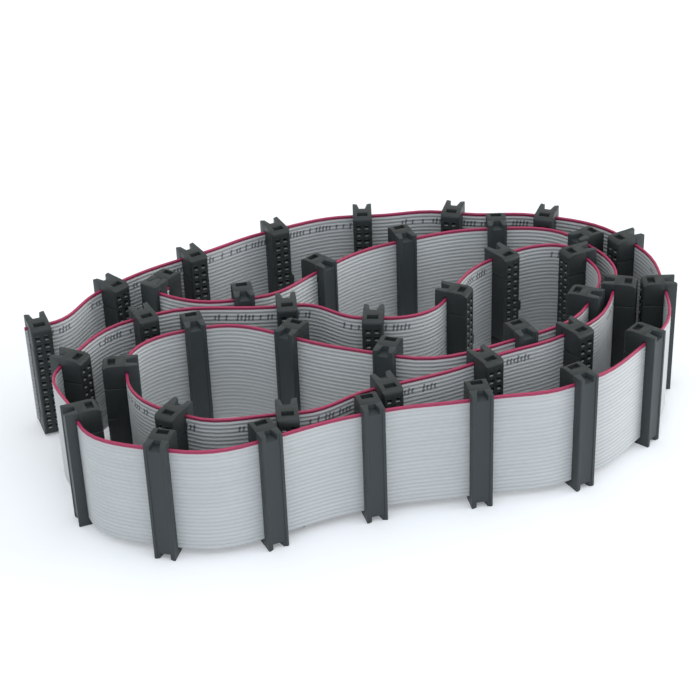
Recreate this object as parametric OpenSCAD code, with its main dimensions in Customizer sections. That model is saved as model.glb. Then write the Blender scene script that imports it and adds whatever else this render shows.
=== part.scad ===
// A long flat ribbon cable with a two-row pin socket pressed onto it at every hand's breadth,
// stood on its edge and laid in loops. Each socket is a housing with two rows of spring contacts
// and a cover that clamps the ribbon onto them. The last socket has the ribbon folded over its
// cover and held by a strain relief bar.

/* [Ribbon] */
// Number of wires side by side, the edge wire included
wires = 26; // [16:2:34]
// Distance from the centre of one wire to the next
wire_pitch = 1.27; // [1.2:0.01:1.5]
// Thickness of the ribbon
ribbon_t = 0.9; // [0.7:0.05:1.1]
// Length of ribbon from one socket to the next
socket_spacing = 30.5; // [30.5:0.5:50]

/* [Housing] */
// Width of a socket, along the ribbon
socket_w = 6.1; // [5.9:0.1:7]
// Depth of the housing, from the ribbon to the face that the pins go into
housing_depth = 6.4; // [6:0.1:8]
// Plastic past the ribbon's edge, at each end of a socket
end_reach = 2.2; // [1.8:0.1:3]
// Side of the square passage for one pin and its contact
pin_hole = 1.1; // [0.9:0.05:1.3]
// Bevel along the long edges of the pin face
face_bevel = 0.4; // [0.1:0.05:0.6]
// How far each end rounds off towards the pin face, along the socket
end_round = 1.3; // [0.5:0.1:2]
// The same, along the depth of the housing
end_round_depth = 2.6; // [1:0.1:3]
// Width of the latch pocket in each end
pocket_w = 3; // [2:0.1:4]
// Length of the latch pocket, along the depth of the housing
pocket_l = 2.2; // [1.5:0.1:3]
// Depth of the latch pocket, into the end
pocket_depth = 1.2; // [0.5:0.1:1.5]
// Rim between the latch pocket and the pin face
pocket_rim = 1.6; // [1:0.1:2]
// How far the polarising key stands out of the side
key_h = 0.8; // [0.4:0.1:1.2]
// Length of the key, along the socket
key_l = 4.2; // [3:0.1:6]
// Depth of the key, from the pin face
key_depth = 2.8; // [1.5:0.1:4]
// Width and depth of the fine groove across each side
groove = 0.3; // [0.1:0.05:0.5]

/* [Cover] */
// Depth of the cover, from the ribbon to its outer face
cover_depth = 2.9; // [2.5:0.1:4]
// Width of the two rails along the outer face
rail_w = 0.9; // [0.6:0.05:1.5]
// Depth of the channel between the rails
channel_depth = 0.7; // [0.3:0.05:1.2]
// Depth of the notch in each end, along the socket
notch_depth = 2.1; // [1:0.1:4]
// Width of the notch at its inner side
notch_root = 2.4; // [1.5:0.1:3]
// Plastic left between the notch and the ribbon
notch_floor = 0.4; // [0.3:0.05:1]

/* [Contact] */
// Gap between a contact and the wall of its passage
contact_gap = 0.1; // [0.05:0.01:0.2]
// Thickness of a contact
contact_t = 0.4; // [0.2:0.05:0.6]
// How far the contact's tip lies behind the pin face
contact_inset = 1.1; // [0.5:0.1:2]

/* [Strain relief] */
// Depth of the strain relief bar
relief_depth = 1.6; // [1:0.1:3]
// Bevel along the bar's outer edges
relief_bevel = 0.35; // [0.1:0.05:0.6]
// Running gap round the legs that hold the bar, and past the ribbon's edges
fit_gap = 0.1; // [0.05:0.01:0.3]

/* [Lay] */
// Least gap between the sockets of neighbouring runs
row_gap = 0.7; // [0.7:0.1:3]
// Straight run of ribbon next to a socket
straight_run = 0.3; // [0.1:0.1:2]

/* [Hidden] */
// Where each socket stands, as [x, y, heading of the ribbon in degrees]
STATIONS = [
    [-94, 1, 20], [-75, 23, 45], [-51, 41, 30], [-25, 57, 25], [4, 65, 0],
    [34, 65, 345], [64, 60, 340], [88, 41, 300], [94, 11, 270], [85, -19, 230],
    [63, -40, 210], [34, -47, 190], [4, -52, 195], [-24, -63, 205], [-53, -66, 165],
    [-77, -49, 110], [-83, -20, 65], [-63, 4, 25], [-20, 8, 5], [6, -1, 355],
    [29, 11, 65], [46, 34, 35], [72, 33, 295], [71, 5, 245], [49, -15, 205],
    [9, -22, 160], [-19, -10, 150], [-47, -4, 195], [-65, -25, 275], [-49, -49, 330],
    [-19, -51, 5], [8, -39, 20], [36, -27, 30], [63, -13, 35], [79, 12, 75],
    [73, 42, 125], [47, 53, 180], [17, 47, 200], [-9, 30, 225], [-33, 13, 190],
    [-59, 23, 145]
];
LAST = len(STATIONS);
// The spacing, and the room that neighbouring runs need, at which the stations are as listed
LISTED_SPACING = 30.5;
LISTED_PIN_ROWS = 14.4;
LISTED_COVER_ROWS = 7.4;
LISTED_WIDTH = 6.8;
// How strongly the ribbon bows between two sockets, and the straight pieces of each bow
BOW = 1.15;
STEPS = 8;
FOLD_STEPS = 10;
GROUP = 6;
CUT = 0.5;

ribbon_w = wires * wire_pitch;
socket_l = ribbon_w + 2 * end_reach;
pin_pitch = 2 * wire_pitch;
pin_rows = wires / 2;
first_pin = (socket_l - (pin_rows - 1) * pin_pitch) / 2;
ribbon_face = ribbon_t / 2;
pin_face = ribbon_face + housing_depth;
cover_face = ribbon_face + cover_depth;
notch_face = ribbon_face + notch_floor;
contact_w = pin_hole - 2 * contact_gap;
half_run = socket_w / 2 + straight_run;
fold_r = (ribbon_t + cover_depth) / 2;
// The lay grows with the spacing, and with whatever takes up more room between the runs
lay = max(
    socket_spacing / LISTED_SPACING,
    (2 * pin_face + row_gap) / LISTED_PIN_ROWS,
    (2 * cover_face + row_gap) / LISTED_COVER_ROWS,
    (socket_w + row_gap) / LISTED_WIDTH
);

function two_digits(k) = str(k < 10 ? "0" : "", k);
function housing_name(k) = str("housing_", two_digits(k));
function groups() = [for (k = [1 : GROUP : LAST]) [k, min(k + GROUP - 1, LAST)]];
function group_name(what, g) = str(what, "_", two_digits(g[0]), "_to_", two_digits(g[1]));

// ---- Route of the ribbon's centre line, seen from above ----

function at(k) = lay * [STATIONS[k - 1][0], STATIONS[k - 1][1]];
function ahead(k) = let (h = STATIONS[k - 1][2]) [cos(h), sin(h)];
function left(v) = [-v[1], v[0]];

// Where the ribbon comes to socket k. At the last one it runs over the cover first.
function arrival(k) = at(k) - half_run * ahead(k) + (k == LAST ? 2 * fold_r : 0) * left(ahead(k));
function departure(k) = at(k) + half_run * ahead(k);

function blend(a, u, b, v, s) =
    (2 * s ^ 3 - 3 * s ^ 2 + 1) * a + (s ^ 3 - 2 * s ^ 2 + s) * u
    + (3 * s ^ 2 - 2 * s ^ 3) * b + (s ^ 3 - s ^ 2) * v;

function stretch(k) =
    let (a = departure(k), b = arrival(k + 1), pull = BOW * norm(b - a))
    [for (i = [0 : STEPS]) blend(a, pull * ahead(k), b, pull * ahead(k + 1), i / STEPS)];

// Over the last cover, round its far edge, and back between the cover and the housing
function fold() =
    let (far = at(LAST) + socket_w / 2 * ahead(LAST), out = left(ahead(LAST)))
    concat(
        [for (i = [0 : FOLD_STEPS])
            let (a = 180 * i / FOLD_STEPS)
            far + fold_r * (1 + cos(a)) * out + fold_r * sin(a) * ahead(LAST)],
        [at(LAST) - socket_w / 2 * ahead(LAST)]
    );

ROUTE = concat(
    [at(1) - socket_w / 2 * ahead(1)],
    [for (k = [1 : LAST - 1]) each stretch(k)],
    fold()
);

function unit(v) = v / norm(v);
// The two edges of a band along the route, with its full thickness kept through every corner
function edge(side) = [
    for (i = [0 : len(ROUTE) - 1])
        let (
            a = unit(ROUTE[max(i, 1)] - ROUTE[max(i, 1) - 1]),
            b = unit(ROUTE[min(i + 1, len(ROUTE) - 1)] - ROUTE[min(i, len(ROUTE) - 2)]),
            across = left(unit(a + b))
        )
        ROUTE[i] + side * ribbon_t / 2 / (across * left(a)) * across
];

module band(from_wire, to_wire) {
    left_edge = edge(1);
    right_edge = edge(-1);
    translate([0, 0, end_reach + from_wire * wire_pitch])
        linear_extrude((to_wire - from_wire) * wire_pitch)
            polygon(concat(left_edge, [for (i = [len(ROUTE) - 1 : -1 : 0]) right_edge[i]]));
}

module ribbon() {
    color([0.78, 0.79, 0.80]) band(0, wires - 1);
}

module edge_wire() {
    color([0.70, 0.20, 0.34]) band(wires - 1, wires);
}

// ---- Socket, with the ribbon along X, the pins towards -Y and the cover towards +Y ----

module on_ribbon(k) {
    translate([at(k)[0], at(k)[1], 0]) rotate([0, 0, STATIONS[k - 1][2]]) children();
}

// Extrudes a shape drawn in Y and Z across the socket's width w, about its middle
module across(w) {
    translate([-w / 2, 0, 0]) rotate([90, 0, 90]) linear_extrude(w) children();
}

module both_ends() {
    children();
    translate([0, 0, socket_l]) mirror([0, 0, 1]) children();
}

// Quarter of an ellipse that rounds the end off, from the flat end down to the pin face
function rounding(top, toward) = [
    for (a = [0 : 22.5 : 90])
        [-pin_face + end_round_depth * (1 - sin(a)), top + toward * end_round * (1 - cos(a))]
];

module housing_block() {
    intersection() {
        linear_extrude(socket_l)
            polygon([
                [-socket_w / 2, -ribbon_face], [socket_w / 2, -ribbon_face],
                [socket_w / 2, -pin_face + face_bevel], [socket_w / 2 - face_bevel, -pin_face],
                [-socket_w / 2 + face_bevel, -pin_face], [-socket_w / 2, -pin_face + face_bevel]
            ]);
        across(socket_w + CUT) {
            lower = rounding(0, 1);
            upper = rounding(socket_l, -1);
            polygon(concat(
                [[-ribbon_face, 0]], lower,
                [for (i = [len(upper) - 1 : -1 : 0]) upper[i]], [[-ribbon_face, socket_l]]
            ));
        }
    }
}

module key() {
    out = socket_w / 2 + key_h;
    translate([0, 0, (socket_l - key_l) / 2])
        linear_extrude(key_l)
            polygon([
                [socket_w / 2 - CUT, -pin_face + key_depth], [out, -pin_face + key_depth],
                [out, -pin_face + face_bevel], [out - face_bevel, -pin_face],
                [socket_w / 2 - face_bevel, -pin_face], [socket_w / 2 - CUT, -pin_face + CUT]
            ]);
}

module at_each_pin() {
    for (column = [-1, 1], row = [0 : pin_rows - 1])
        translate([column * pin_pitch / 2, 0, first_pin + row * pin_pitch]) children();
}

module passages() {
    at_each_pin()
        translate([0, -(ribbon_face + pin_face) / 2, 0])
            cube([pin_hole, housing_depth + 2 * CUT, pin_hole], center = true);
}

module latch_pocket() {
    translate([-pocket_w / 2, -pin_face + pocket_rim, -CUT]) cube([pocket_w, pocket_l, pocket_depth + CUT]);
}

// Fine groove down one side, between the second and the third row of pins
module side_groove() {
    for (side = [-1, 1])
        translate([side * socket_w / 2, -ribbon_face - housing_depth / 2, first_pin + 1.5 * pin_pitch])
            cube([groove, housing_depth + CUT, groove], center = true);
}

module housing(k) {
    color([0.19, 0.21, 0.22])
        on_ribbon(k)
            difference() {
                union() {
                    housing_block();
                    key();
                }
                passages();
                both_ends() {
                    latch_pocket();
                    side_groove();
                }
            }
}

// A flat spring blade along one wall of its passage, which stands on the ribbon
module contact() {
    translate([-contact_w / 2, -pin_face + contact_inset, contact_gap - pin_hole / 2])
        cube([contact_w, housing_depth - contact_inset, contact_t]);
}

module contacts(first, last) {
    color([0.80, 0.74, 0.58])
        for (k = [first : last])
            on_ribbon(k) at_each_pin() contact();
}

module notch() {
    mouth = socket_w - 2 * rail_w;
    translate([0, 0, -CUT])
        linear_extrude(notch_depth + CUT)
            polygon([
                [-notch_root / 2, notch_face], [-mouth / 2, cover_face], [-mouth / 2, cover_face + CUT],
                [mouth / 2, cover_face + CUT], [mouth / 2, cover_face], [notch_root / 2, notch_face]
            ]);
}

// Block that closes the slot past the ribbon's edge, from one face to the other
module slot_end(near, far) {
    translate([-socket_w / 2, near, 0]) cube([socket_w, far - near, end_reach - fit_gap]);
}

module cover() {
    channel = socket_w / 2 - rail_w;
    difference() {
        union() {
            linear_extrude(socket_l)
                polygon([
                    [-socket_w / 2, ribbon_face], [-socket_w / 2, cover_face], [-channel, cover_face],
                    [-channel, cover_face - channel_depth], [channel, cover_face - channel_depth],
                    [channel, cover_face], [socket_w / 2, cover_face], [socket_w / 2, ribbon_face]
                ]);
            both_ends() slot_end(-ribbon_face, ribbon_face);
        }
        both_ends() notch();
    }
}

module covers(first, last) {
    color([0.21, 0.23, 0.24])
        for (k = [first : last]) on_ribbon(k) cover();
}

// A bar over the folded ribbon, with a leg in each notch of the last cover
module strain_relief() {
    near = cover_face + ribbon_t;
    out = near + relief_depth;
    root = notch_root / 2 - fit_gap;
    inner = notch_face + fit_gap;
    mouth = socket_w / 2 - rail_w - fit_gap;
    color([0.21, 0.23, 0.24])
        on_ribbon(LAST)
            union() {
                linear_extrude(socket_l)
                    polygon([
                        [-socket_w / 2, near], [-socket_w / 2, out - relief_bevel],
                        [-socket_w / 2 + relief_bevel, out], [socket_w / 2 - relief_bevel, out],
                        [socket_w / 2, out - relief_bevel], [socket_w / 2, near]
                    ]);
                both_ends() {
                    slot_end(cover_face, near);
                    linear_extrude(notch_depth - fit_gap)
                        polygon([
                            [-root, inner], [-mouth, cover_face], [mouth, cover_face], [root, inner]
                        ]);
                }
            }
}

ribbon();
edge_wire();
strain_relief();
for (k = [1 : LAST])
    housing(k);
for (g = groups())
    covers(g[0], g[1]);
for (g = groups())
    contacts(g[0], g[1]);
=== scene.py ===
import math

import bmesh
import bpy
import numpy as np
from mathutils import Matrix, Vector


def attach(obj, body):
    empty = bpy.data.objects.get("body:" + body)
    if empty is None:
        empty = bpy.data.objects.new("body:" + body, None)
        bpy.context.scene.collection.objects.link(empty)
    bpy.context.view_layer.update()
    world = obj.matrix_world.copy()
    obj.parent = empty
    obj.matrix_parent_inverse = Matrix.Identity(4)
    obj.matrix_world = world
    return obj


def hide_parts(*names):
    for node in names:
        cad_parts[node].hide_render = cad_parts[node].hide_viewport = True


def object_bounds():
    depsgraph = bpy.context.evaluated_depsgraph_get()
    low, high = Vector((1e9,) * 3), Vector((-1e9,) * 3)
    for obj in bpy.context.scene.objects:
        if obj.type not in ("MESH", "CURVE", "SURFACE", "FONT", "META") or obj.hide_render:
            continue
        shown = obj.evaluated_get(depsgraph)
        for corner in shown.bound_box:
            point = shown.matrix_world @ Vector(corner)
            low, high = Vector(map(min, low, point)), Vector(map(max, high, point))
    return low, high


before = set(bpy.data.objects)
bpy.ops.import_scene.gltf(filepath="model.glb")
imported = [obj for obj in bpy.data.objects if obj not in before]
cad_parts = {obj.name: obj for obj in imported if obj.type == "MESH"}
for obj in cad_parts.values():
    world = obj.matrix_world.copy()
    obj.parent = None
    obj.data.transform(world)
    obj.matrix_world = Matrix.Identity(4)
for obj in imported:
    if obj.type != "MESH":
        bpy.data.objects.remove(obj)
cad_low, cad_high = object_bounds()


# ---- Camera ----
# A long lens that looks down on the looped ribbon from in front, with the whole lay in view. The
# colours are shown as they are, without a film look.
viewpoint = (0.00015, -0.4668, 0.3076)
pitch, yaw, roll = (math.radians(a) for a in (31.36, -0.185, 2.085))
bpy.ops.object.camera_add()
camera = bpy.context.object
camera.name = "camera"
camera.data.lens = 93.77
camera.data.sensor_width = 36
camera.data.clip_start, camera.data.clip_end = 0.01, 20
camera.matrix_world = (
    Matrix.Translation(viewpoint)
    @ Matrix.Rotation(-yaw, 4, "Z")
    @ Matrix.Rotation(math.pi / 2 - pitch, 4, "X")
    @ Matrix.Rotation(-roll, 4, "Z")
)
bpy.context.scene.camera = camera
bpy.context.scene.view_settings.view_transform = "Standard"


# ---- Ribbon ----
# Twenty-five stranded wires in one extrusion of grey PVC: round lobes joined by thin webs. It
# stands on its edge, runs straight through every socket and bows a little between them. At the
# last socket it comes over the cover, turns round the far edge and goes back under the cover.
wires, wire_pitch, lobe_r, web_half = 26, 0.00127, 0.00045, 0.0002
lobe_marks = (-0.0004, -0.00022, 0, 0.00022, 0.0004)  # the outline's points across one wire
rim, rim_half = 0.00044, 0.00009  # the outermost point of an edge, from its wire's middle
edge_height = 0.0022  # the ribbon's lower edge above the floor
socket_w, socket_l = 0.0061, 0.03742
cover_face = 0.00335  # from the ribbon's middle to the outer face of a cover
fold_r = cover_face / 2 + lobe_r / 2
straight, free_end = 0.0003, 0.0008  # out of each socket, and at the cut end out of the first one
bow = 1.15  # how long the ribbon holds a socket's heading before it turns to the next one
trial_steps, fewest_steps, fold_points = 32, 6, 13
turn_step = math.radians(7)
stations = [  # millimetres and degrees: where each socket stands, and the ribbon's heading there
    (-94, 1, 20), (-75, 23, 45), (-51, 41, 30), (-25, 57, 25), (4, 65, 0),
    (34, 65, 345), (64, 60, 340), (88, 41, 300), (94, 11, 270), (85, -19, 230),
    (63, -40, 210), (34, -47, 190), (4, -52, 195), (-24, -63, 205), (-53, -66, 165),
    (-77, -49, 110), (-83, -20, 65), (-63, 4, 25), (-20, 8, 5), (6, -1, 355),
    (29, 11, 65), (46, 34, 35), (72, 33, 295), (71, 5, 245), (49, -15, 205),
    (9, -22, 160), (-19, -10, 150), (-47, -4, 195), (-65, -25, 275), (-49, -49, 330),
    (-19, -51, 5), (8, -39, 20), (36, -27, 30), (63, -13, 35), (79, 12, 75),
    (73, 42, 125), (47, 53, 180), (17, 47, 200), (-9, 30, 225), (-33, 13, 190),
    (-59, 23, 145),
]
last = len(stations) - 1


def spot(k):
    return np.array(stations[k][:2]) / 1000


def run(k):
    a = math.radians(stations[k][2])
    return np.array((math.cos(a), math.sin(a)))


def left_of(v):
    return np.array((-v[1], v[0]))


def bow_between(k):
    """The ribbon's middle line from socket k to the next, with more points where it turns more."""
    start = spot(k) + (socket_w / 2 + straight) * run(k)
    end = spot(k + 1) - (socket_w / 2 + straight) * run(k + 1)
    if k + 1 == last:
        end = end + 2 * fold_r * left_of(run(last))
    u, v = (bow * np.linalg.norm(end - start) * run(j) for j in (k, k + 1))

    def along(count):
        s = np.linspace(0, 1, count + 1)[:, None]
        return (
            (2 * s**3 - 3 * s**2 + 1) * start + (s**3 - 2 * s**2 + s) * u
            + (3 * s**2 - 2 * s**3) * end + (s**3 - s**2) * v
        )

    steps = np.diff(along(trial_steps), axis=0)
    turns = np.unwrap(np.arctan2(steps[:, 1], steps[:, 0]))
    return along(max(fewest_steps, math.ceil(np.abs(np.diff(turns)).sum() / turn_step)))


def ribbon_line():
    """The whole middle line, from the cut end at the first socket to the one at the last, seen
    from above. The first end stands a little way out of its socket."""
    points = [[spot(0) - (socket_w / 2 + free_end) * run(0)]]
    points += [bow_between(k) for k in range(last)]
    far, out = spot(last) + socket_w / 2 * run(last), left_of(run(last))
    for a in np.radians(np.linspace(0, 180, fold_points)):
        points.append([far + fold_r * ((1 + math.cos(a)) * out + math.sin(a) * run(last))])
    points.append([spot(last) - socket_w / 2 * run(last)])
    return np.concatenate(points)


line = ribbon_line()


def lobes(first, count, low_end, high_end):
    """Height above the lower edge, in wires, and half thickness of each point of the outline."""
    outline = []
    for wire in range(first, first + count):
        for mark in lobe_marks:
            half = max(web_half, math.sqrt(lobe_r**2 - mark**2))
            outline.append((wire + 0.5 + mark / wire_pitch, half))
    if low_end == "round":
        outline.insert(0, (first + 0.5 - rim / wire_pitch, rim_half))
    else:
        outline.insert(0, (first, web_half))
    if high_end == "round":
        outline.append((first + count - 0.5 + rim / wire_pitch, rim_half))
    else:
        outline.append((first + count, web_half))
    return outline


cover_marks = 40  # added to the wires in the UV map on the covers' side, so that no dash is there


def extrude_wires(name, outline):
    """One closed piece of the ribbon along its line, with lengths and wires as its UV map."""
    steps = np.diff(line, axis=0)
    lengths = np.linalg.norm(steps, axis=1)
    along = np.concatenate(([0], np.cumsum(lengths))) / wire_pitch
    ahead = steps / lengths[:, None]
    before, after = np.vstack((ahead[:1], ahead)), np.vstack((ahead, ahead[-1:]))
    middle = (before + after) / np.linalg.norm(before + after, axis=1)[:, None]
    sideways = np.stack((-middle[:, 1], middle[:, 0]), axis=1)
    sideways /= np.einsum("ij,ij->i", middle, before)[:, None]
    count = len(outline)
    points, marks = [], []
    for place, out, length in zip(line, sideways, along):
        for side, offset in ((-1, 0), (1, cover_marks)):  # the pins' side, then the covers' side
            for wire, half in outline:
                x, y = place + side * half * out
                points.append((x, y, edge_height + wire * wire_pitch))
                marks.append((length, wire + offset))
    faces = []
    for ring in range(len(line) - 1):
        a, b = ring * 2 * count, (ring + 1) * 2 * count
        for i in range(count - 1):
            faces.append((a + i, b + i, b + i + 1, a + i + 1))
            j = i + count
            faces.append((a + j, a + j + 1, b + j + 1, b + j))
        faces.append((a, a + count, b + count, b))
        faces.append((a + count - 1, b + count - 1, b + 2 * count - 1, a + 2 * count - 1))
    end = (len(line) - 1) * 2 * count
    for i in range(count - 1):
        j = i + count
        faces.append((i, i + 1, j + 1, j))
        faces.append((end + i, end + j, end + j + 1, end + i + 1))
    mesh = bpy.data.meshes.new(name)
    mesh.from_pydata(points, [], faces)
    uv = mesh.uv_layers.new(name="wires")
    for loop in mesh.loops:
        uv.data[loop.index].uv = marks[loop.vertex_index]
    piece = bpy.data.objects.new(name, mesh)
    bpy.context.scene.collection.objects.link(piece)
    bpy.ops.object.select_all(action="DESELECT")
    piece.select_set(True)
    bpy.context.view_layer.objects.active = piece
    bpy.ops.object.shade_smooth_by_angle(angle=math.radians(60))
    return piece


def tone(*rgb):
    """A colour as the eye reads it, 0 to 255, made linear for a shader."""
    return tuple(
        c / 255 / 12.92 if c / 255 <= 0.04045 else ((c / 255 + 0.055) / 1.055) ** 2.4 for c in rgb
    ) + (1,)


def new_finish(name):
    """A new material, its node tree and its shader."""
    finish = bpy.data.materials.new(name)
    finish.use_nodes = True
    return finish, finish.node_tree, finish.node_tree.nodes["Principled BSDF"]


def feed(tree, socket, value):
    """Gives a socket a number, a colour or another node's output."""
    if isinstance(value, (int, float, tuple)):
        socket.default_value = value
    else:
        tree.links.new(value, socket)


def step(tree, kind, *inputs, clamp=False):
    """A Math node of that kind on these inputs, each a number or an output."""
    node = tree.nodes.new("ShaderNodeMath")
    node.operation, node.use_clamp = kind, clamp
    for socket, value in zip(node.inputs, inputs):
        feed(tree, socket, value)
    return node.outputs[0]


def mixed(tree, amount, a, b):
    """The colour that far from a to b, each a colour or an output."""
    node = tree.nodes.new("ShaderNodeMix")
    node.data_type = "RGBA"
    for i, value in ((0, amount), (6, a), (7, b)):  # the factor, and the two colours
        feed(tree, node.inputs[i], value)
    return node.outputs[2]


def clouds(tree, scale, detail):
    """Soft noise through the piece's own space."""
    place = tree.nodes.new("ShaderNodeTexCoord")
    noise = tree.nodes.new("ShaderNodeTexNoise")
    noise.inputs["Scale"].default_value = scale
    noise.inputs["Detail"].default_value = detail
    tree.links.new(place.outputs["Object"], noise.inputs["Vector"])
    return noise.outputs["Fac"]


def chance(tree, value):
    """A number from 0 to 1 for each whole step of the value."""
    draw = tree.nodes.new("ShaderNodeTexWhiteNoise")
    draw.noise_dimensions = "1D"
    tree.links.new(step(tree, "FLOOR", value), draw.inputs["W"])
    return draw.outputs["Value"]


def grain(tree, shader, scale, detail, strength, depth):
    """A fine bump all over the surface."""
    bump = tree.nodes.new("ShaderNodeBump")
    bump.inputs["Strength"].default_value = strength
    bump.inputs["Distance"].default_value = depth
    tree.links.new(clouds(tree, scale, detail), bump.inputs["Height"])
    tree.links.new(bump.outputs[0], shader.inputs["Normal"])


dash_row, dash_pitch, dash_slant = 22.9, 0.9, -0.15  # in wires
dash_group = 9  # dashes
dash_left_out, group_left_out, dash_ink = 0.3, 0.35, 0.75


def dashes(tree, length, wire):
    """How much ink lies at a place: one row of small slanted dashes in groups, some left out."""
    slanted = step(tree, "MULTIPLY_ADD", wire, dash_slant, length)
    cell = step(tree, "DIVIDE", slanted, dash_pitch)
    of_dash = chance(tree, cell)
    of_group = chance(tree, step(tree, "DIVIDE", cell, dash_group))
    there = step(
        tree, "MULTIPLY",
        step(tree, "GREATER_THAN", of_dash, dash_left_out),
        step(tree, "GREATER_THAN", of_group, group_left_out),
    )
    within = step(tree, "LESS_THAN", step(tree, "FRACT", cell), 0.5)
    half_height = step(tree, "MULTIPLY_ADD", of_dash, 0.6, 0.4)
    off_row = step(tree, "ABSOLUTE", step(tree, "SUBTRACT", wire, dash_row))
    row = step(tree, "LESS_THAN", off_row, half_height)
    ink = step(tree, "MULTIPLY", step(tree, "MULTIPLY", there, within), row)
    return step(tree, "MULTIPLY", ink, dash_ink)


def pvc(name, colour, crest_shade_colour, printed):
    """Soft satin PVC, with painted shade: a darker tone on the crest of each wire, meant for the
    grooves between the wires though it sits on the crests. A row of small dark dashes may run along
    the pins' side."""
    finish, tree, shader = new_finish(name)
    shader.inputs["Roughness"].default_value = 0.42
    shader.inputs["Specular IOR Level"].default_value = 0.45
    uv = tree.nodes.new("ShaderNodeUVMap")
    uv.uv_map = "wires"
    parts = tree.nodes.new("ShaderNodeSeparateXYZ")
    tree.links.new(uv.outputs[0], parts.inputs[0])
    length, wire = parts.outputs[0], parts.outputs[1]
    off_crest = step(tree, "PINGPONG", step(tree, "ADD", wire, 0.5), 0.5)
    # painted shade on the crest of each wire: full up to a twentieth of a wire from the crest, and
    # gone at a quarter
    crest_shade = step(tree, "MULTIPLY_ADD", off_crest, -5.0, 1.25, clamp=True)
    cloudy = step(tree, "MULTIPLY_ADD", clouds(tree, 60, 3), 0.10, 0.95)
    each_wire = step(tree, "MULTIPLY_ADD", chance(tree, wire), 0.04, 0.98)
    shaded = tree.nodes.new("ShaderNodeVectorMath")
    shaded.operation = "SCALE"
    tree.links.new(mixed(tree, crest_shade, colour, crest_shade_colour), shaded.inputs[0])
    tree.links.new(step(tree, "MULTIPLY", each_wire, cloudy), shaded.inputs["Scale"])
    surface = shaded.outputs[0]
    if printed:
        surface = mixed(tree, dashes(tree, length, wire), surface, tone(48, 50, 56))
    tree.links.new(surface, shader.inputs["Base Color"])
    grain(tree, shader, scale=2500, detail=2, strength=0.15, depth=0.00005)
    return finish


ribbon = extrude_wires("ribbon_wires", lobes(0, wires - 1, "round", "web"))
# the second tone is the painted shade on the crest of each wire
grey_pvc = pvc("grey_pvc", tone(198, 200, 200), tone(184, 187, 187), printed=True)
ribbon.data.materials.append(grey_pvc)
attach(ribbon, "root")
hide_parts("ribbon")


# ---- Edge wire ----
# The wire at the ribbon's upper edge. It is part of the same extrusion and crimson all along, so
# that wire number one can be told at every socket.
edge_wire = extrude_wires("first_wire", lobes(wires - 1, 1, "web", "round"))
crimson_pvc = pvc("crimson_pvc", tone(176, 52, 92), tone(140, 40, 75), printed=False)
edge_wire.data.materials.append(crimson_pvc)
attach(edge_wire, "root")
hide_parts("edge_wire")


# ---- Housings ----
# The lower half of each socket, moulded in black glass-filled polyester: two rows of square
# passages for the pins, a latch pocket in each end and a polarising key on one long side.
housing_depth, ribbon_face = 0.0064, 0.00045
pin_face = ribbon_face + housing_depth
pin_rows, pin_pitch = 13, 2 * wire_pitch
first_pin = (socket_l - (pin_rows - 1) * pin_pitch) / 2
mouth, passage, flare_depth, passage_depth = 0.0016, 0.0011, 0.00035, housing_depth - 0.0007
end_round, face_bevel, housing_edge_r = 0.0013, 0.0004, 0.00012
key_l, key_depth = 0.0028, 0.0028  # along the socket, and down from the pin face
key_out, key_root = 0.0008, 0.0005  # out of the long side, and into it
pocket_w, pocket_l = 0.0034, 0.0012  # across the end, and into it
pocket_near, pocket_far = 0.0016, 0.0038  # from the pin face
nick_w, nick_depth = 0.001, 0.00045  # the tapered grooves across the long sides
over = 0.001  # how far a cutting block reaches past a face that it cuts
hair = 1e-6  # what still counts as the same place


def choose(piece, what, test):
    """Selects the piece's faces or edges that pass the test, in edit mode, and nothing else."""
    bpy.ops.mesh.select_mode(type=what)
    bpy.ops.mesh.select_all(action="DESELECT")
    shape = bmesh.from_edit_mesh(piece.data)
    for part in shape.faces if what == "FACE" else shape.edges:
        if test(part):
            part.select_set(True)
    bmesh.update_edit_mesh(piece.data)


def block(name, low, high):
    """A cube from one corner to the other, selected alone and active."""
    bpy.ops.object.select_all(action="DESELECT")
    low, high = Vector(low), Vector(high)
    bpy.ops.mesh.primitive_cube_add(size=1, location=(low + high) / 2)
    piece = bpy.context.object
    piece.name = piece.data.name = name
    piece.scale = high - low
    bpy.ops.object.transform_apply(location=True, rotation=True, scale=True)
    return piece


def bevel_edges(piece, width, segments, test):
    """Bevels the edges that pass the test."""
    bpy.ops.object.mode_set(mode="EDIT")
    choose(piece, "EDGE", test)
    bpy.ops.mesh.bevel(offset=width, segments=segments, affect="EDGES")
    bpy.ops.object.mode_set(mode="OBJECT")


def taper(piece, scale, test):
    """Scales the face that passes the test about its own middle."""
    bpy.ops.object.mode_set(mode="EDIT")
    choose(piece, "FACE", test)
    bpy.ops.transform.resize(value=scale)
    bpy.ops.object.mode_set(mode="OBJECT")


def level(edge, axis):
    """True where both ends of the edge are at the same place along the axis."""
    return abs(edge.verts[0].co[axis] - edge.verts[1].co[axis]) < hair


def join_with(piece, tool, how):
    """Applies a Boolean of the tool to the piece and throws the tool away."""
    boolean = piece.modifiers.new("shape", "BOOLEAN")
    boolean.operation, boolean.object, boolean.solver = how, tool, "EXACT"
    bpy.context.view_layer.objects.active = piece
    bpy.ops.object.modifier_apply(modifier="shape")
    bpy.data.objects.remove(tool)


def soften(piece, width):
    """A fine moulded radius on every sharp edge."""
    bevel = piece.modifiers.new("radius", "BEVEL")
    bevel.width, bevel.segments = width, 2
    bevel.limit_method, bevel.angle_limit = "ANGLE", math.radians(40)
    bpy.context.view_layer.objects.active = piece
    bpy.ops.object.modifier_apply(modifier="radius")


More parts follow.
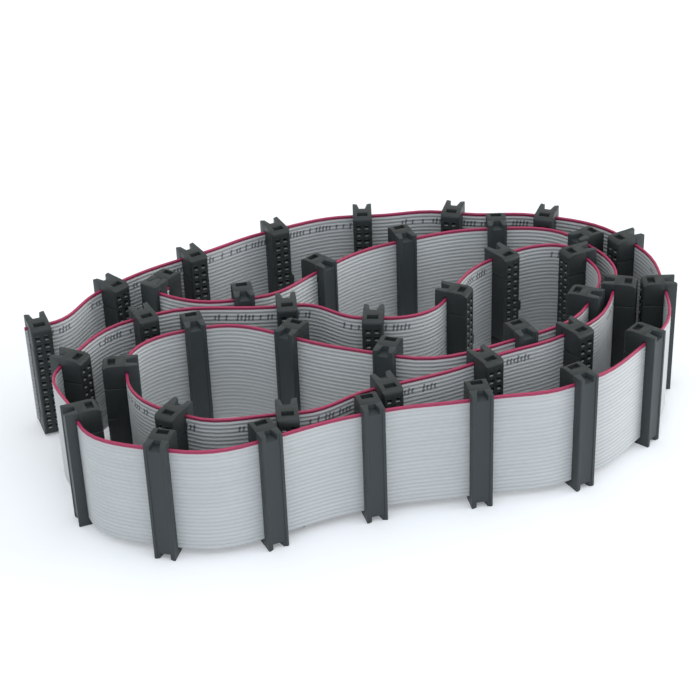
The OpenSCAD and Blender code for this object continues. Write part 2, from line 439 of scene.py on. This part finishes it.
def rounded_ends():
    """The housing's outline as seen along the ribbon, with its corners at the pin face rounded.
    It is bevelled at half its depth and then drawn out, so that the rounding comes out oval."""
    front = -ribbon_face - housing_depth / 2
    ends = block("ends", (-socket_w, front, 0), (socket_w, -ribbon_face, socket_l))
    bevel_edges(ends, end_round, 6,
                lambda e: level(e, 2) and all(v.co.y < front + hair for v in e.verts))
    bpy.ops.object.mode_set(mode="EDIT")
    bpy.ops.mesh.select_all(action="SELECT")
    bpy.ops.transform.resize(value=(1, 2, 1), center_override=(0, -ribbon_face, 0))
    bpy.ops.object.mode_set(mode="OBJECT")
    return ends


def on_pin_face(face):
    return face.normal.y < -0.99 and face.calc_center_median().y < -pin_face + 10 * hair


def cut_passages(body):
    """Cuts the pin face into a grid and sinks each cell to a flared mouth, then a passage."""
    cell = pin_pitch**2
    cuts = [((x, 0, 0), (1, 0, 0)) for x in (-pin_pitch, 0, pin_pitch)]
    cuts += [((0, 0, first_pin + (i - 0.5) * pin_pitch), (0, 0, 1)) for i in range(pin_rows + 1)]
    bpy.ops.object.mode_set(mode="EDIT")
    for place, normal in cuts:
        choose(body, "FACE", on_pin_face)
        bpy.ops.mesh.bisect(plane_co=place, plane_no=normal, threshold=hair)
    choose(body, "FACE", lambda f: on_pin_face(f) and abs(f.calc_area() - cell) < 0.01 * cell)
    bpy.ops.mesh.inset(thickness=(pin_pitch - mouth) / 2, use_individual=True)
    bpy.ops.mesh.inset(thickness=(mouth - passage) / 2, depth=-flare_depth, use_individual=True)
    bpy.ops.mesh.extrude_region_move(TRANSFORM_OT_translate={"value": (0, passage_depth, 0)})
    bpy.ops.object.mode_set(mode="OBJECT")


def model_housing():
    body = block("housing_model", (-socket_w / 2, -pin_face, -over),
                 (socket_w / 2, -ribbon_face, socket_l + over))
    bevel_edges(body, face_bevel, 1,
                lambda e: level(e, 0) and all(v.co.y < -pin_face + hair for v in e.verts))
    join_with(body, rounded_ends(), "INTERSECT")
    key = block("key", (socket_w / 2 - key_root, -pin_face, socket_l / 2 - key_l / 2),
                (socket_w / 2 + key_out, -pin_face + key_depth, socket_l / 2 + key_l / 2))
    bevel_edges(key, face_bevel, 1, lambda e: all(
        v.co.x > socket_w / 2 and v.co.y < -pin_face + hair for v in e.verts))
    join_with(body, key, "UNION")
    for low, high in ((-over / 2, pocket_l), (socket_l - pocket_l, socket_l + over / 2)):
        pocket = block("pocket", (-pocket_w / 2, -pin_face + pocket_near, low),
                       (pocket_w / 2, -pin_face + pocket_far, high))
        join_with(body, pocket, "DIFFERENCE")
    for side in (-1, 1):
        for z in (first_pin + 1.5 * pin_pitch, socket_l - first_pin - 1.5 * pin_pitch):
            wall = side * socket_w / 2
            nick = block("nick", (wall - nick_depth, -pin_face - over, z - nick_w / 2),
                         (wall + nick_depth, 0, z + nick_w / 2))
            taper(nick, (1, 1, 0.1), lambda f: side * f.normal.x < -0.9)
            join_with(body, nick, "DIFFERENCE")
    soften(body, housing_edge_r)
    cut_passages(body)
    return body


def on_ribbon(k):
    """The place of socket k on the ribbon."""
    x, y, heading = stations[k]
    return (
        Matrix.Translation((x / 1000, y / 1000, 0))
        @ Matrix.Rotation(math.radians(heading), 4, "Z")
    )


def copy_to(places, model, name):
    """One piece of that name with a copy of the model at each of the places."""
    copies = []
    for where in places:
        copy = model.copy()
        copy.data = model.data.copy()
        bpy.context.scene.collection.objects.link(copy)
        copy.data.transform(where)
        copies.append(copy)
    bpy.ops.object.select_all(action="DESELECT")
    for copy in copies:
        copy.select_set(True)
    piece = bpy.context.view_layer.objects.active = copies[0]
    if len(copies) > 1:
        bpy.ops.object.join()
    piece.name = piece.data.name = name
    return piece


def fit_to_ribbon(model, name, sockets, finish):
    """One piece of that name with a copy of the model at each of the sockets."""
    piece = copy_to([on_ribbon(k) for k in sockets], model, name)
    bpy.ops.object.shade_smooth_by_angle(angle=math.radians(35))
    piece.data.materials.clear()
    piece.data.materials.append(finish)
    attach(piece, "root")
    return piece


def black_plastic(name, colour, worn):
    """Moulded black polyester with a fine matt grain and a trace of glass fibre."""
    finish, tree, shader = new_finish(name)
    shader.inputs["Specular IOR Level"].default_value = 0.4
    mottle = clouds(tree, 160, 5)
    tree.links.new(mixed(tree, mottle, colour, worn), shader.inputs["Base Color"])
    tree.links.new(step(tree, "MULTIPLY_ADD", mottle, 0.16, 0.40), shader.inputs["Roughness"])
    grain(tree, shader, scale=5000, detail=3, strength=0.25, depth=0.00004)
    return finish


housing_black = black_plastic("black_polyester", tone(38, 43, 43), tone(46, 51, 51))
housing_model = model_housing()
for k in range(last + 1):
    housing = fit_to_ribbon(housing_model, f"socket_{k + 1:02d}", [k], housing_black)
    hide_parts(f"housing_{k + 1:02d}")
bpy.data.objects.remove(housing_model)


# ---- Covers ----
# The upper half of each socket, pressed on over the ribbon: a bar with a shallow channel along its
# outer face and a notch in each end, which leaves two tapered prongs that stand on the floor.
rail, channel_depth, cover_edge_r = 0.0009, 0.00025, 0.00014
bay_end = 0.0021  # from the cover's end to the opening that the ribbon runs through
notch_w, notch_l, notch_flare = 0.0019, 0.0018, 1.75
past = 0.0001  # how far the notch reaches past the ribbon's middle, and past the outer face


def model_cover():
    body = block("cover_model", (-socket_w / 2, -ribbon_face, 0),
                 (socket_w / 2, cover_face, socket_l))
    bay = block("bay", (-socket_w, -2 * over, bay_end), (socket_w, ribbon_face, socket_l - bay_end))
    join_with(body, bay, "DIFFERENCE")
    channel = block("channel", (-socket_w / 2 + rail, cover_face - channel_depth, -over),
                    (socket_w / 2 - rail, cover_face + over, socket_l + over))
    join_with(body, channel, "DIFFERENCE")
    for low, high in ((-over, notch_l), (socket_l - notch_l, socket_l + over)):
        notch = block("notch", (-notch_w / 2, -past, low), (notch_w / 2, cover_face + past, high))
        taper(notch, (notch_flare, 1, 1), lambda f: f.normal.y > 0.9)
        join_with(body, notch, "DIFFERENCE")
    soften(body, cover_edge_r)
    return body


cover_black = black_plastic("black_cover", tone(46, 52, 53), tone(53, 59, 60))
cover_model = model_cover()
sixes = [(first, min(first + 5, last + 1)) for first in range(1, last + 2, 6)]
for first, final in sixes:
    covers = fit_to_ribbon(
        cover_model, f"clamps_{first:02d}_to_{final:02d}", range(first - 1, final), cover_black)
    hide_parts(f"covers_{first:02d}_to_{final:02d}")
bpy.data.objects.remove(cover_model)


# ---- Contacts ----
# A pair of tin-plated bronze blades in each passage, bowed towards each other to grip a pin, with
# their tips flared at the mouth.
blade_t, blade_w = 0.00012, 0.00104
blade_line = [  # down the passage from the tip, and out from its middle
    (-pin_face + 0.00005, 0.00070), (-pin_face + 0.0004, 0.00049),
    (-pin_face + 0.0030, 0.00030), (-ribbon_face - 0.0007, 0.00046),
]


def model_contact():
    (tip_y, tip_z), (neck_y, neck_z) = blade_line[:2]
    blades = []
    for side in (-1, 1):
        blade = block("blade", (-blade_w / 2, tip_y, side * tip_z - blade_t / 2),
                      (blade_w / 2, neck_y, side * tip_z + blade_t / 2))
        bpy.ops.object.mode_set(mode="EDIT")
        choose(blade, "FACE", lambda f: f.normal.y > 0.9)
        bpy.ops.transform.translate(value=(0, 0, side * (neck_z - tip_z)))
        for (y, z), (next_y, next_z) in zip(blade_line[1:], blade_line[2:]):
            bpy.ops.mesh.extrude_region_move(
                TRANSFORM_OT_translate={"value": (0, next_y - y, side * (next_z - z))})
        bpy.ops.object.mode_set(mode="OBJECT")
        blades.append(blade)
    bpy.ops.object.select_all(action="DESELECT")
    for blade in blades:
        blade.select_set(True)
    bpy.context.view_layer.objects.active = blades[0]
    bpy.ops.object.join()
    return blades[0]


def tinned_bronze():
    finish, tree, shader = new_finish("tinned_bronze")
    shader.inputs["Metallic"].default_value = 1
    bloom = clouds(tree, 900, 2)
    tree.links.new(mixed(tree, bloom, tone(150, 154, 152), tone(178, 182, 180)),
                   shader.inputs["Base Color"])
    tree.links.new(step(tree, "MULTIPLY_ADD", bloom, 0.2, 0.3), shader.inputs["Roughness"])
    return finish


bronze = tinned_bronze()
contact_model = model_contact()
passages = [
    Matrix.Translation((column * pin_pitch / 2, 0, first_pin + row * pin_pitch))
    for column in (-1, 1) for row in range(pin_rows)
]
contacts_model = copy_to(passages, contact_model, "contacts_model")
bpy.data.objects.remove(contact_model)
for first, final in sixes:
    contacts = fit_to_ribbon(
        contacts_model, f"blades_{first:02d}_to_{final:02d}", range(first - 1, final), bronze)
    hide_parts(f"contacts_{first:02d}_to_{final:02d}")
bpy.data.objects.remove(contacts_model)


# ---- Strain relief ----
# A bar over the folded ribbon at the last socket, moulded in the same black polyester, with a leg
# at each end that snaps into the cover's notch.
relief_near = cover_face + 2 * lobe_r  # the folded ribbon lies between this and the cover
relief_depth, relief_bevel = 0.0016, 0.00035
relief_far = relief_near + relief_depth
leg_w, leg_l, leg_flare, leg_inset = 0.0018, 0.0016, 1.7, 0.0001
leg_tip = 0.0002  # from the ribbon's middle


def model_strain_relief():
    bar = block("bar", (-socket_w / 2, cover_face, 0), (socket_w / 2, relief_far, socket_l))
    bevel_edges(bar, relief_bevel, 2,
                lambda e: level(e, 0) and all(v.co.y > relief_far - hair for v in e.verts))
    bay = block("bay", (-socket_w, 0, bay_end), (socket_w, relief_near, socket_l - bay_end))
    join_with(bar, bay, "DIFFERENCE")
    for z in (leg_inset, socket_l - leg_l - leg_inset):
        leg = block("leg", (-leg_w / 2, leg_tip, z), (leg_w / 2, cover_face + past, z + leg_l))
        taper(leg, (leg_flare, 1, 1), lambda f: f.normal.y > 0.9)
        join_with(bar, leg, "UNION")
    soften(bar, cover_edge_r)
    return bar


relief_model = model_strain_relief()
relief = fit_to_ribbon(relief_model, "relief_bar", [last], cover_black)
bpy.data.objects.remove(relief_model)
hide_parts("strain_relief")


# ---- Floor and light ----
# A white sheet of paper that keeps the soft shadow, in a light tent that is cooler in front and
# warmer and dimmer behind, with a broad lamp above and a low one on the right.
paper_white, paper_glow = (0.88, 0.90, 0.93, 1), 0.18
tent_front, tent_back = (0.86, 0.94, 1.02, 1), (0.72, 0.71, 0.68, 1)
lamps = (  # name, place, width and watts
    ("top_light", (0.1, -0.3, 1.1), 1.0, 2.5),
    ("side_light", (1.1, 0.1, 0.3), 0.8, 5.5),
)

bpy.ops.object.select_all(action="DESELECT")
bpy.ops.mesh.primitive_plane_add(size=6, location=(0, 0, cad_low.z))
floor = bpy.context.object
floor.name = "floor"
paper, tree, shader = new_finish("white_paper")
shader.inputs["Base Color"].default_value = paper_white
shader.inputs["Roughness"].default_value = 0.9
shader.inputs["Specular IOR Level"].default_value = 0.1
rays = tree.nodes.new("ShaderNodeLightPath")
seen = step(tree, "MAXIMUM", rays.outputs["Is Camera Ray"], rays.outputs["Is Glossy Ray"])
glow = tree.nodes.new("ShaderNodeEmission")
tree.links.new(step(tree, "MULTIPLY", seen, paper_glow), glow.inputs["Strength"])
both = tree.nodes.new("ShaderNodeAddShader")
tree.links.new(shader.outputs[0], both.inputs[0])
tree.links.new(glow.outputs[0], both.inputs[1])
tree.links.new(both.outputs[0], tree.nodes["Material Output"].inputs["Surface"])
floor.data.materials.append(paper)

world = bpy.data.worlds.new("light_tent")
bpy.context.scene.world = world
world.use_nodes = True
tree = world.node_tree
way = tree.nodes.new("ShaderNodeTexCoord")
parts = tree.nodes.new("ShaderNodeSeparateXYZ")
tree.links.new(way.outputs["Generated"], parts.inputs[0])
behind = step(tree, "MULTIPLY_ADD", parts.outputs[1], 0.5, 0.5)
tree.links.new(mixed(tree, behind, tent_front, tent_back), tree.nodes["Background"].inputs["Color"])

for name, place, width, watts in lamps:
    bpy.ops.object.light_add(type="AREA", location=place)
    lamp = bpy.context.object
    lamp.name = name
    lamp.data.shape, lamp.data.size, lamp.data.energy = "SQUARE", width, watts
    lamp.rotation_euler = (-Vector(place)).to_track_quat("-Z", "Y").to_euler()
